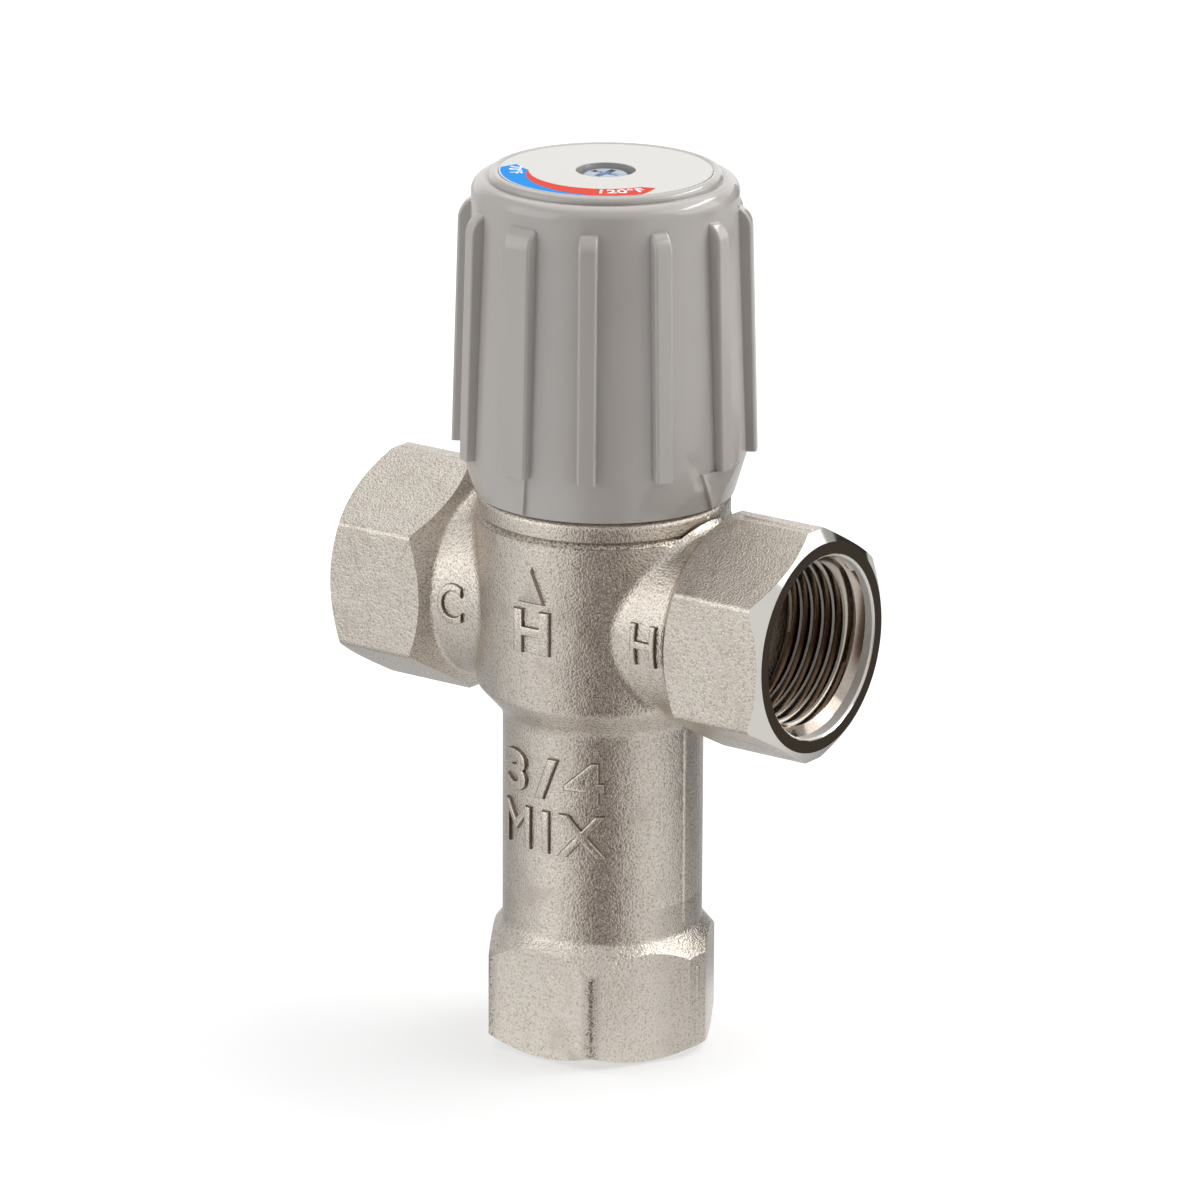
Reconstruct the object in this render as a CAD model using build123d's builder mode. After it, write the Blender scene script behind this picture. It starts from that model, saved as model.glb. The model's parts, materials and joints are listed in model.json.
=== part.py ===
from build123d import *

import os
from math import cos, hypot, pi, radians, sin, sqrt, tan

os.makedirs("parts", exist_ok=True)

# Thermostatic mixing valve. Millimetres, +Z up, origin at the centre of the mix port's face.
# +X is the hot port, -X the cold port, -Y the front with the cast marks.

# Clearances
running_gap = 0.05
sliding_gap = 0.08
seat_gap = 0.02
knob_gap = 0.3
cut_margin = 0.3

# Forged body, outside
stem_radius = 14.6
stem_height = 50.1
taper_height = 4.2
barrel_radius = 18.4
barrel_height = 25.4
collar_radius = 18.3
collar_height = 3.2
collar_groove_depth = 0.5
collar_top_round = 1.0
collar_round = 0.4
boss_radius = 16.3
boss_height = 9.1
port_rise = 11.7
neck_length = 3.2
neck_radius = 14.3
neck_round = 2.2
foot_round = 1.2
taper_foot_round = 2.8
taper_top_round = 1.4

# Hex ends
hex_across_flats = 31.6
hex_corner_round = 1.0
hex_trim_radius = 17.1
port_hex_length = 16.4
mix_hex_length = 16.8
port_back_angle = 37.0
mix_back_angle = 51.0
face_land_radius = 15.3
face_chamfer_angle = 34.6

# Female threads, bored at the root diameter
thread_radius = 13.25
thread_length = 15.0
mouth_chamfer = 0.3
runout_depth = 1.4

# Inner chambers
stem_bore_radius = 10.4
lower_bore_radius = 9.6
guide_seat_height = 30.0
main_bore_radius = 14.5
partition_height = 4.6
partition_radius = 11.2
hot_chamber_height = 9.2
cold_chamber_height = 7.7
passage_width = 15.0
passage_wall = 0.8

# Hot seat ring
seat_ring_depth = 2.5
seat_lip_height = 1.5
seat_inner_radius = 9.0

# Strokes of the moving pieces
knob_half_turn = 135.0
setting_pitch = 1.5
stroke_down = 0.8
stroke_up = 0.4
overtravel = 1.2
closing_margin = 0.06

# Spool
spool_wall = 2.1
spool_edge_chamfer = 0.4
spoke_count = 3
spoke_width = 2.2
spoke_height = 3.0
spoke_rise = 0.5
spool_hub_wall = 2.0
spool_o_ring_section = 1.5
spool_groove_play = 0.15

# Wax element
guide_stem_radius = 4.5
guide_stem_height = 9.6
guide_collar_radius = 7.9
guide_collar_height = 2.0
guide_plug_height = 3.5
guide_tip_chamfer = 0.7
pin_radius = 2.0
pin_chamfer = 0.4
cup_radius = 5.5
cup_wall = 0.5
cup_height = 22.0
plug_height = 1.6

# Return spring and flow guide
ground_share = 0.25
return_wire = 1.3
return_turns = 6.5
flow_guide_height = 6.0
flow_guide_wall = 1.4
flow_vane_count = 4
flow_vane_width = 1.4

# Bonnet
bonnet_flange_radius = 16.0
bonnet_flange_height = 2.5
bonnet_hex_across_flats = 24.0
bonnet_hex_height = 6.5
bonnet_neck_radius = 8.0
bonnet_neck_height = 5.0
nut_bore_radius = 9.0
nut_bore_flat = 7.9
bonnet_o_ring_section = 1.8
bonnet_o_ring_rise = 4.0
groove_play = 0.05

# Setting nut and overtravel unit
nut_rise = 1.5
nut_cup_radius = 6.5
nut_web_height = 5.0
ring_height = 0.9
ring_rise = 0.6
ring_bite = 0.5
ring_band = 1.7
ring_opening = 50.0
ring_eye_share = 0.75
ring_hole_share = 0.45
button_disc_height = 2.0
button_nose_radius = 3.2
button_nose_height = 1.6
button_socket_depth = 1.8
overtravel_wire = 1.0
overtravel_turns = 4.0
overtravel_side_gap = 0.6
overtravel_spare = 0.8

# Spindle
spindle_thread_radius = 4.0
spindle_flange_radius = 7.0
spindle_flange_height = 2.0
spindle_tail = 0.5
nut_stop_gap = 0.1
washer_height = 0.6
journal_radius = 4.5
spindle_o_ring_section = 1.35
spindle_o_ring_spacing = 3.6
circlip_height = 0.9
circlip_bite = 0.7
circlip_band = 1.7
circlip_opening = 60.0
spline_radius = 4.3
spline_root_radius = 3.8
spline_tooth_count = 12

# Knob
knob_bottom_radius = 18.8
band_height = 6.4
band_top_radius = 20.7
skirt_height = 37.2
skirt_top_radius = 19.15
shoulder_height = 2.3
shoulder_bulge = 0.85
rim_outer_radius = 16.8
rim_crest_radius = 16.0
rim_height = 1.05
label_radius = 15.25
label_sink = 0.25
label_thickness = 0.15
knob_wall = 1.7
knob_top_wall = 2.5
hub_radius = 7.5
hub_clearance = 3.5
web_count = 6
web_width = 1.4
web_rise = 1.9
rib_count = 12
rib_width = 2.7
wide_rib_width = 4.5
rib_bottom_radius = 22.05
rib_top_radius = 21.0
rib_drop = 1.0
rib_round = 3.3
rib_edge_round = 0.45
rib_first_angle = -1.5
wide_rib_index = 9
pointer_proud = 0.55
front_pointer_width = 3.6
side_pointer_width = 8.8

# Knob screw
screw_recess_radius = 4.3
screw_recess_depth = 2.6
screw_head_radius = 3.7
screw_head_height = 2.3
screw_shank_radius = 2.0
screw_length = 12.0
screw_web = 2.4
cross_span = 4.6
cross_width = 1.1
cross_depth = 1.4
cross_taper = 10.0


# Heights worked out from the sizes above
taper_top = stem_height + taper_height
port_axis_height = taper_top + port_rise
port_reach = barrel_radius + neck_length + port_hex_length
collar_bottom = taper_top + barrel_height
collar_top = collar_bottom + collar_height
rim_top = collar_top + boss_height
partition_bottom = port_axis_height - partition_height / 2
partition_top = port_axis_height + partition_height / 2
hot_chamber_bottom = partition_bottom - hot_chamber_height
cold_seat_height = partition_top + cold_chamber_height
hot_seat_height = hot_chamber_bottom + seat_lip_height
nut_travel = setting_pitch * knob_half_turn / 360
hex_radius = hex_across_flats / sqrt(3)
hex_apothem = hex_across_flats / 2

nut_bottom = cold_seat_height + nut_rise
ring_bottom = nut_bottom + ring_rise
disc_bottom = ring_bottom + ring_height + seat_gap
disc_top = disc_bottom + button_disc_height
nut_cup_top = disc_top + overtravel_turns * overtravel_wire + overtravel + overtravel_spare
nut_top = nut_cup_top + nut_web_height
nose_bottom = disc_bottom - button_nose_height
pin_top = nose_bottom + button_socket_depth - seat_gap

spindle_bottom = nut_cup_top - nut_travel - spindle_tail
flange_bottom = nut_top + nut_travel + nut_stop_gap
flange_top = flange_bottom + spindle_flange_height
ledge_height = flange_top + washer_height + 2 * seat_gap
bonnet_flange_top = rim_top + bonnet_flange_height
bonnet_hex_top = bonnet_flange_top + bonnet_hex_height
bonnet_top = bonnet_hex_top + bonnet_neck_height
circlip_bottom = bonnet_top + seat_gap

knob_bottom = collar_top + knob_gap
band_top = knob_bottom + band_height
skirt_top = band_top + skirt_height
rim_base = skirt_top + shoulder_height
rim_crest = rim_base + rim_height
knob_face = rim_crest - label_sink
knob_ceiling = knob_face - knob_top_wall
hub_bottom = circlip_bottom + circlip_height + hub_clearance
rib_top = skirt_top - rib_drop
recess_floor = knob_face - screw_recess_depth
socket_top = recess_floor - screw_web
spindle_top = socket_top - seat_gap
screw_tip = recess_floor - screw_length

hot_gap = nut_travel + stroke_down + closing_margin
cold_gap = nut_travel + stroke_up + closing_margin
spool_bottom = hot_seat_height + hot_gap
spool_top = cold_seat_height - cold_gap
spool_radius = partition_radius - sliding_gap
spoke_bottom = port_axis_height + spoke_rise
guide_collar_top = spoke_bottom - seat_gap
guide_collar_bottom = guide_collar_top - guide_collar_height
guide_stem_top = guide_collar_top + guide_stem_height
guide_plug_bottom = guide_collar_bottom - guide_plug_height
element_plug_top = guide_plug_bottom - seat_gap
pin_bottom = element_plug_top + stroke_up + closing_margin
cup_top = guide_collar_bottom - seat_gap
cup_bottom = cup_top - cup_height
cup_bore_radius = cup_radius - cup_wall
flow_guide_top = guide_seat_height + flow_guide_height
return_radius = guide_collar_radius - return_wire / 2
seat_floor = hot_chamber_bottom - seat_ring_depth

port_plane = Plane(origin=(0, 0, port_axis_height), x_dir=(1, 0, 0), z_dir=(0, -1, 0))
port_axis = Axis((0, 0, port_axis_height), (1, 0, 0))


def save(piece, name):
    """Label a finished piece and write its file."""
    piece.part.label = name
    export_step(piece.part, "parts/" + name + ".step")


def near(sketch, x, y):
    """The corner of a profile that lies nearest to a point."""
    return sketch.vertices().sort_by_distance(Vector(x, y, 0))[0]


def half_section(points):
    """A closed half section in the XZ plane, ready to turn about Z."""
    with BuildSketch(Plane.XZ) as section:
        with BuildLine():
            Polyline(*points, close=True)
        make_face()
    return section.sketch


def hex_end(length, back_angle, foot_radius):
    """A hex end, face down at the origin: flats, front chamfer, rear cone and trimmed flash corners."""
    outer = hex_radius + 1
    front = (outer - face_land_radius) * tan(radians(face_chamfer_angle))
    slope = tan(radians(back_angle))
    back = length - (outer - hex_apothem) * slope
    foot = length + (hex_apothem - foot_radius) * slope
    with BuildPart() as end:
        with BuildSketch() as section:
            RegularPolygon(hex_radius, 6)
            fillet(section.vertices(), hex_corner_round)
            Rectangle(2 * hex_trim_radius, 3 * hex_radius, mode=Mode.INTERSECT)
        extrude(amount=2 * length)
        with BuildSketch(Plane.XZ):
            with BuildLine():
                Polyline(
                    (0, 0),
                    (face_land_radius, 0),
                    (outer, front),
                    (outer, back),
                    (foot_radius, foot),
                    (0, foot),
                    close=True,
                )
            make_face()
        revolve(axis=Axis.Z, mode=Mode.INTERSECT)
    return end


def torus_ring(radius, section, height):
    """An O-ring lying level at a height."""
    with BuildPart() as ring:
        with BuildSketch(Plane.XZ):
            with Locations((radius, height)):
                Circle(section / 2)
        revolve(axis=Axis.Z)
    return ring


def open_ring(inner, band, opening, height, base, on_shaft):
    """A snap ring cut from sheet, with its mouth at the back and an eye at each tip."""
    eye = band * ring_eye_share
    lug = inner + (eye if on_shaft else band - eye)
    with BuildPart() as ring:
        with BuildSketch(Plane.XY.offset(base)):
            Circle(inner + band)
            Circle(inner, mode=Mode.SUBTRACT)
            turn = radians(opening / 2)
            reach = 2 * (inner + band)
            with BuildLine():
                tip = (reach * sin(turn), reach * cos(turn))
                Polyline((0, 0), tip, (-tip[0], tip[1]), close=True)
            make_face(mode=Mode.SUBTRACT)
            for side in (-1, 1):
                with Locations((side * lug * sin(turn), lug * cos(turn))):
                    Circle(eye)
                    Circle(eye * ring_hole_share, mode=Mode.SUBTRACT)
        extrude(amount=height)
    return ring


def spring(radius, wire, turns, bottom, top):
    """A coil spring with its two ends ground flat."""
    pitch = (top - bottom - 2 * wire * ground_share) / turns
    with BuildPart() as coil:
        with BuildLine() as path:
            Helix(pitch, pitch * turns, radius, center=(0, 0, bottom + wire * ground_share))
        with BuildSketch(Plane(origin=path.line @ 0, z_dir=path.line % 0)):
            Circle(wire / 2)
        sweep(is_frenet=True)
        with Locations((0, 0, (bottom + top) / 2)):
            Cylinder(radius + wire, top - bottom, mode=Mode.INTERSECT)
    return coil


def spline_section(gap):
    """Cross section of the knob's drive spline, grown by a gap for the socket."""
    tooth = pi * spline_root_radius / spline_tooth_count
    Circle(spline_root_radius + gap)
    with PolarLocations(0, spline_tooth_count):
        Rectangle(spline_radius + gap, tooth + 2 * gap, align=(Align.MIN, Align.CENTER))


# The valve body: turned outline, two port necks, three hex ends, then every bore
mix_hex = hex_end(mix_hex_length, mix_back_angle, stem_radius)
port_hex = hex_end(port_hex_length, port_back_angle, neck_radius)

with BuildPart() as valve_body:
    with BuildSketch(Plane.YZ) as outline:
        with BuildLine():
            Polyline(
                (0, mix_hex_length / 2),
                (stem_radius, mix_hex_length / 2),
                (stem_radius, stem_height),
                (barrel_radius, taper_top),
                (barrel_radius, rim_top),
                (0, rim_top),
                close=True,
            )
        make_face()
        fillet(near(outline, stem_radius, stem_height), taper_foot_round)
        fillet(near(outline, barrel_radius, taper_top), taper_top_round)
    revolve(axis=Axis.Z)
    with Locations((0, 0, port_axis_height)):
        Cylinder(neck_radius, 2 * (port_reach - port_hex_length), rotation=(0, 90, 0))
    neck_edges = [
        edge for edge in valve_body.edges() if edge.geom_type not in (GeomType.CIRCLE, GeomType.LINE)
    ]
    fillet(neck_edges, neck_round)

    with BuildSketch(Plane.YZ) as collar_cut:
        with BuildLine():
            Polyline(
                (barrel_radius - collar_groove_depth, collar_bottom),
                (barrel_radius + cut_margin, collar_bottom - collar_groove_depth - cut_margin),
                (barrel_radius + cut_margin, rim_top),
                (boss_radius, rim_top),
                (boss_radius, collar_top),
                (collar_radius, collar_top),
                (collar_radius, collar_bottom + collar_groove_depth),
                close=True,
            )
        make_face()
        fillet(near(collar_cut, collar_radius, collar_top), collar_top_round)
        fillet(near(collar_cut, collar_radius, collar_bottom + collar_groove_depth), collar_round)
    revolve(axis=Axis.Z, mode=Mode.SUBTRACT)

    add(mix_hex.part)
    for side in (1, -1):
        with Locations((side * port_reach, 0, port_axis_height)):
            add(port_hex.part, rotation=(0, -90 * side, 0))
    neck_foot = port_reach - port_hex_length - (hex_apothem - neck_radius) * tan(radians(port_back_angle))
    stem_foot = mix_hex_length + (hex_apothem - stem_radius) * tan(radians(mix_back_angle))
    foot_edges = [
        edge
        for edge in valve_body.edges().filter_by(GeomType.CIRCLE)
        if abs(edge.center().Z - stem_foot) < seat_gap or abs(abs(edge.center().X) - neck_foot) < seat_gap
    ]
    fillet(foot_edges, foot_round)

    turned_bore = [
        (0, 0),
        (thread_radius + mouth_chamfer, 0),
        (thread_radius, mouth_chamfer),
        (thread_radius, thread_length),
        (lower_bore_radius, thread_length + thread_radius - lower_bore_radius),
        (lower_bore_radius, guide_seat_height),
        (stem_bore_radius, guide_seat_height),
        (stem_bore_radius, seat_floor),
        (spool_radius + seat_gap, seat_floor),
        (spool_radius + seat_gap, hot_chamber_bottom),
        (main_bore_radius, hot_chamber_bottom),
        (main_bore_radius, partition_bottom),
        (partition_radius, partition_bottom),
        (partition_radius, partition_top),
        (main_bore_radius, partition_top),
        (main_bore_radius, rim_top),
        (0, rim_top),
    ]
    with BuildSketch(Plane.YZ):
        with BuildLine():
            Polyline(*turned_bore, close=True)
        make_face()
    revolve(axis=Axis.Z, mode=Mode.SUBTRACT)

    port_bore_floor = port_reach - thread_length - runout_depth
    for side in (1, -1):
        with BuildSketch(port_plane):
            with BuildLine():
                Polyline(
                    (side * port_reach, 0),
                    (side * port_reach, thread_radius + mouth_chamfer),
                    (side * (port_reach - mouth_chamfer), thread_radius),
                    (side * (port_reach - thread_length), thread_radius),
                    (side * port_bore_floor, thread_radius - runout_depth),
                    (side * port_bore_floor, 0),
                    close=True,
                )
            make_face()
        revolve(axis=port_axis, mode=Mode.SUBTRACT)

    chambers = ((1, hot_chamber_bottom, partition_bottom), (-1, partition_top, cold_seat_height))
    for side, low, high in chambers:
        passage_plane = Plane(origin=(0, 0, (low + high) / 2), x_dir=(0, side, 0), z_dir=(side, 0, 0))
        with BuildSketch(passage_plane):
            SlotOverall(passage_width, high - low - 2 * passage_wall)
        extrude(amount=port_bore_floor + runout_depth / 2, mode=Mode.SUBTRACT)

save(valve_body, "valve_body")


# The hot seat: a ring pressed in below the spool, with a chamfered lip
with BuildPart() as hot_seat:
    section = half_section(
        [
            (seat_inner_radius, seat_floor),
            (spool_radius, seat_floor),
            (spool_radius, hot_seat_height - spool_edge_chamfer),
            (spool_radius - spool_edge_chamfer, hot_seat_height),
            (seat_inner_radius, hot_seat_height),
        ]
    )
    revolve(section, axis=Axis.Z)
save(hot_seat, "hot_seat")


# The flow guide: an outer ring on the stem's step, vanes, and the seat of the return spring
with BuildPart() as flow_guide:
    with BuildSketch(Plane.XY.offset(guide_seat_height)):
        Circle(stem_bore_radius - running_gap)
        Circle(stem_bore_radius - running_gap - flow_guide_wall, mode=Mode.SUBTRACT)
        Circle(flow_guide_wall)
        with PolarLocations(0, flow_vane_count):
            Rectangle(stem_bore_radius - flow_guide_wall, flow_vane_width, align=(Align.MIN, Align.CENTER))
    extrude(amount=flow_guide_height - seat_gap)
    with BuildSketch(Plane.XY.offset(guide_seat_height + flow_guide_height / 2)):
        Circle(guide_collar_radius)
        Circle(guide_collar_radius - return_wire, mode=Mode.SUBTRACT)
    extrude(amount=flow_guide_height / 2 - seat_gap)
save(flow_guide, "flow_guide")

return_spring_top = guide_collar_bottom - seat_gap
return_spring = spring(return_radius, return_wire, return_turns, flow_guide_top, return_spring_top)
save(return_spring, "return_spring")


# The wax element: stem with its collar, copper cup, rubber plug and wax
with BuildPart() as element_guide:
    section = half_section(
        [
            (pin_radius + running_gap, guide_plug_bottom),
            (cup_bore_radius - seat_gap, guide_plug_bottom),
            (cup_bore_radius - seat_gap, guide_collar_bottom),
            (guide_collar_radius, guide_collar_bottom),
            (guide_collar_radius, guide_collar_top),
            (guide_stem_radius, guide_collar_top),
            (guide_stem_radius, guide_stem_top - guide_tip_chamfer),
            (guide_stem_radius - guide_tip_chamfer, guide_stem_top),
            (pin_radius + running_gap, guide_stem_top),
        ]
    )
    revolve(section, axis=Axis.Z)
save(element_guide, "element_guide")

with BuildPart() as element_cup:
    with BuildSketch(Plane.XZ) as cup_section:
        with BuildLine():
            Polyline(
                (0, cup_bottom),
                (cup_radius, cup_bottom),
                (cup_radius, cup_top),
                (cup_bore_radius, cup_top),
                (cup_bore_radius, cup_bottom + cup_wall),
                (0, cup_bottom + cup_wall),
                close=True,
            )
        make_face()
        fillet(near(cup_section, cup_radius, cup_bottom), 2 * cup_wall)
        fillet(near(cup_section, cup_bore_radius, cup_bottom + cup_wall), cup_wall)
    revolve(axis=Axis.Z)
save(element_cup, "element_cup")

element_plug_bottom = element_plug_top - plug_height
with BuildPart() as element_plug:
    with Locations((0, 0, element_plug_bottom)):
        Cylinder(
            cup_bore_radius - seat_gap, plug_height, align=(Align.CENTER, Align.CENTER, Align.MIN)
        )
save(element_plug, "element_plug")

wax_bottom = cup_bottom + cup_wall + seat_gap
with BuildPart() as wax_charge:
    with BuildSketch(Plane.XZ) as wax_section:
        with Locations((0, wax_bottom)):
            Rectangle(
                cup_bore_radius - seat_gap,
                element_plug_bottom - seat_gap - wax_bottom,
                align=(Align.MIN, Align.MIN),
            )
        fillet(near(wax_section, cup_bore_radius - seat_gap, wax_bottom), cup_wall)
    revolve(axis=Axis.Z)
save(wax_charge, "wax_charge")

with BuildPart() as push_pin:
    with Locations((0, 0, pin_bottom)):
        Cylinder(pin_radius, pin_top - pin_bottom, align=(Align.CENTER, Align.CENTER, Align.MIN))
    chamfer(push_pin.edges().filter_by(GeomType.CIRCLE), pin_chamfer)
save(push_pin, "push_pin")


# The spool: a sleeve with an O-ring groove, and a spoked hub that sits on the element's collar
spool_bore_radius = spool_radius - spool_wall
spool_ring_radius = partition_radius - seat_gap - spool_o_ring_section / 2
spool_groove_radius = spool_ring_radius - spool_o_ring_section / 2 - seat_gap
with BuildPart() as spool:
    section = half_section(
        [
            (spool_bore_radius, spool_bottom),
            (spool_radius - spool_edge_chamfer, spool_bottom),
            (spool_radius, spool_bottom + spool_edge_chamfer),
            (spool_radius, spool_top - spool_edge_chamfer),
            (spool_radius - spool_edge_chamfer, spool_top),
            (spool_bore_radius, spool_top),
        ]
    )
    revolve(section, axis=Axis.Z)
    with BuildSketch(Plane.XY.offset(spoke_bottom)):
        Circle(guide_stem_radius + seat_gap + spool_hub_wall)
        with PolarLocations(0, spoke_count):
            Rectangle(spool_radius - spool_wall / 2, spoke_width, align=(Align.MIN, Align.CENTER))
        Circle(guide_stem_radius + seat_gap, mode=Mode.SUBTRACT)
    extrude(amount=spoke_height)
    groove_height = spool_o_ring_section + 2 * spool_groove_play
    with BuildSketch(Plane.XZ):
        with Locations((spool_groove_radius, port_axis_height)):
            Rectangle(spool_wall, groove_height, align=(Align.MIN, Align.CENTER))
    revolve(axis=Axis.Z, mode=Mode.SUBTRACT)
save(spool, "spool")

spool_o_ring = torus_ring(spool_ring_radius, spool_o_ring_section, port_axis_height)
save(spool_o_ring, "spool_o_ring")


# The bonnet: threaded skirt whose foot is the cold seat, flange, hex and neck
bonnet_ring_radius = main_bore_radius - seat_gap - bonnet_o_ring_section / 2
bonnet_ring_height = cold_seat_height + bonnet_o_ring_rise
skirt_radius = main_bore_radius - running_gap
with BuildPart() as bonnet:
    section = half_section(
        [
            (0, cold_seat_height),
            (skirt_radius, cold_seat_height),
            (skirt_radius, rim_top + seat_gap),
            (bonnet_flange_radius, rim_top + seat_gap),
            (bonnet_flange_radius, bonnet_flange_top),
            (bonnet_neck_radius, bonnet_flange_top),
            (bonnet_neck_radius, bonnet_top),
            (0, bonnet_top),
        ]
    )
    revolve(section, axis=Axis.Z)
    with BuildSketch(Plane.XY.offset(bonnet_flange_top)):
        RegularPolygon(bonnet_hex_across_flats / 2, 6, major_radius=False)
    extrude(amount=bonnet_hex_height)
    with BuildSketch(Plane.XZ):
        groove_floor = bonnet_ring_radius - bonnet_o_ring_section / 2 - seat_gap
        with Locations((groove_floor, bonnet_ring_height)):
            Rectangle(
                main_bore_radius - groove_floor,
                bonnet_o_ring_section + 2 * groove_play,
                align=(Align.MIN, Align.CENTER),
            )
    revolve(axis=Axis.Z, mode=Mode.SUBTRACT)
    with BuildSketch(Plane.XY.offset(cold_seat_height)):
        Circle(nut_bore_radius)
        Rectangle(2 * nut_bore_radius, 2 * nut_bore_flat, mode=Mode.INTERSECT)
    extrude(amount=ledge_height - cold_seat_height, mode=Mode.SUBTRACT)
    with Locations((0, 0, bonnet_top)):
        Hole(journal_radius + running_gap)
save(bonnet, "bonnet")

bonnet_o_ring = torus_ring(bonnet_ring_radius, bonnet_o_ring_section, bonnet_ring_height)
save(bonnet_o_ring, "bonnet_o_ring")


# The setting nut: a double-D cup that slides in the bonnet and rides on the spindle's thread
ring_groove_radius = nut_cup_radius + ring_bite
with BuildPart() as setting_nut:
    with BuildSketch(Plane.XY.offset(nut_bottom)):
        Circle(nut_bore_radius - sliding_gap)
        Rectangle(2 * nut_bore_radius, 2 * (nut_bore_flat - sliding_gap), mode=Mode.INTERSECT)
    extrude(amount=nut_top - nut_bottom)
    with BuildSketch(Plane.XZ):
        with BuildLine():
            Polyline(
                (0, nut_bottom),
                (nut_cup_radius, nut_bottom),
                (nut_cup_radius, ring_bottom - seat_gap),
                (ring_groove_radius + seat_gap, ring_bottom - seat_gap),
                (ring_groove_radius + seat_gap, ring_bottom + ring_height + seat_gap),
                (nut_cup_radius, ring_bottom + ring_height + seat_gap),
                (nut_cup_radius, nut_cup_top),
                (spindle_thread_radius + running_gap, nut_cup_top),
                (spindle_thread_radius + running_gap, nut_top),
                (0, nut_top),
                close=True,
            )
        make_face()
    revolve(axis=Axis.Z, mode=Mode.SUBTRACT)
save(setting_nut, "setting_nut")

overtravel_ring = open_ring(
    ring_groove_radius - ring_band, ring_band, ring_opening, ring_height, ring_bottom, False
)
save(overtravel_ring, "overtravel_ring")

with BuildPart() as overtravel_button:
    section = half_section(
        [
            (0, pin_top + seat_gap),
            (pin_radius + running_gap, pin_top + seat_gap),
            (pin_radius + running_gap, nose_bottom),
            (button_nose_radius, nose_bottom),
            (button_nose_radius, disc_bottom),
            (nut_cup_radius - sliding_gap, disc_bottom),
            (nut_cup_radius - sliding_gap, disc_top),
            (0, disc_top),
        ]
    )
    revolve(section, axis=Axis.Z)
save(overtravel_button, "overtravel_button")

overtravel_spring = spring(
    nut_cup_radius - overtravel_side_gap - overtravel_wire / 2,
    overtravel_wire,
    overtravel_turns,
    disc_top + seat_gap,
    nut_cup_top - seat_gap,
)
save(overtravel_spring, "overtravel_spring")


# The spindle: threaded foot, thrust flange, journal with two ring grooves, clip groove and spline
spindle_ring_radius = journal_radius + running_gap - seat_gap - spindle_o_ring_section / 2
spindle_groove_radius = spindle_ring_radius - spindle_o_ring_section / 2 - seat_gap
journal_middle = (ledge_height + bonnet_top) / 2
o_ring_heights = {
    "lower": journal_middle - spindle_o_ring_spacing / 2,
    "upper": journal_middle + spindle_o_ring_spacing / 2,
}
clip_groove_radius = journal_radius - circlip_bite
spline_bottom = hub_bottom - seat_gap
with BuildPart() as spindle:
    section = half_section(
        [
            (0, spindle_bottom),
            (spindle_thread_radius, spindle_bottom),
            (spindle_thread_radius, flange_bottom),
            (spindle_flange_radius, flange_bottom),
            (spindle_flange_radius, flange_top),
            (journal_radius, flange_top),
            (journal_radius, circlip_bottom - seat_gap),
            (clip_groove_radius, circlip_bottom - seat_gap),
            (clip_groove_radius, circlip_bottom + circlip_height + seat_gap),
            (journal_radius, circlip_bottom + circlip_height + seat_gap),
            (journal_radius, spline_bottom),
            (0, spline_bottom),
        ]
    )
    revolve(section, axis=Axis.Z)
    with BuildSketch(Plane.XY.offset(spline_bottom)):
        spline_section(0)
    extrude(amount=spindle_top - spline_bottom)
    with BuildSketch(Plane.XZ):
        for height in o_ring_heights.values():
            with Locations((spindle_groove_radius, height)):
                Rectangle(
                    spindle_o_ring_section,
                    spindle_o_ring_section + 2 * groove_play,
                    align=(Align.MIN, Align.CENTER),
                )
    revolve(axis=Axis.Z, mode=Mode.SUBTRACT)
    with Locations((0, 0, spindle_top)):
        Hole(screw_shank_radius + seat_gap, depth=spindle_top - screw_tip + screw_shank_radius)
save(spindle, "spindle")

for place, height in o_ring_heights.items():
    save(torus_ring(spindle_ring_radius, spindle_o_ring_section, height), "spindle_o_ring_" + place)

spindle_circlip = open_ring(
    clip_groove_radius + seat_gap, circlip_band, circlip_opening, circlip_height, circlip_bottom, True
)
save(spindle_circlip, "spindle_circlip")

with BuildPart() as thrust_washer:
    with BuildSketch(Plane.XY.offset(flange_top + seat_gap)):
        Circle(spindle_flange_radius)
        Circle(journal_radius + running_gap, mode=Mode.SUBTRACT)
    extrude(amount=washer_height)
save(thrust_washer, "thrust_washer")


# The knob: turned cup with its rim, twelve ribs, two pointers, then the cavity, hub and webs
def knob_rib(width):
    """One grip rib on the +X side, rounded over at its top."""
    inner = skirt_top_radius / 2
    with BuildPart() as rib:
        with BuildSketch(Plane.XZ) as section:
            with BuildLine():
                Polyline(
                    (inner, band_top),
                    (rib_bottom_radius, band_top),
                    (rib_top_radius, rib_top),
                    (inner, rib_top),
                    close=True,
                )
            make_face()
            fillet(near(section, rib_top_radius, rib_top), rib_round)
        extrude(amount=width / 2, both=True)
        outer_edges = [
            edge
            for edge in rib.edges()
            if edge.center().X > skirt_top_radius and abs(edge.center().Y) > width / 2 - seat_gap
        ]
        fillet(outer_edges, rib_edge_round)
    return rib


def knob_pointer(width):
    """A raised arrow head on the band of the +X side, its tip at the knob's lower edge."""
    with BuildPart() as pointer:
        with BuildSketch(Plane.YZ):
            with BuildLine():
                Polyline((-width / 2, band_top), (width / 2, band_top), (0, knob_bottom), close=True)
            make_face()
        extrude(amount=2 * band_top_radius)
        with BuildSketch(Plane.XZ):
            with BuildLine():
                Polyline(
                    (0, knob_bottom),
                    (knob_bottom_radius + pointer_proud, knob_bottom),
                    (band_top_radius + pointer_proud, band_top),
                    (0, band_top),
                    close=True,
                )
            make_face()
        revolve(axis=Axis.Z, mode=Mode.INTERSECT)
    return pointer


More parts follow.
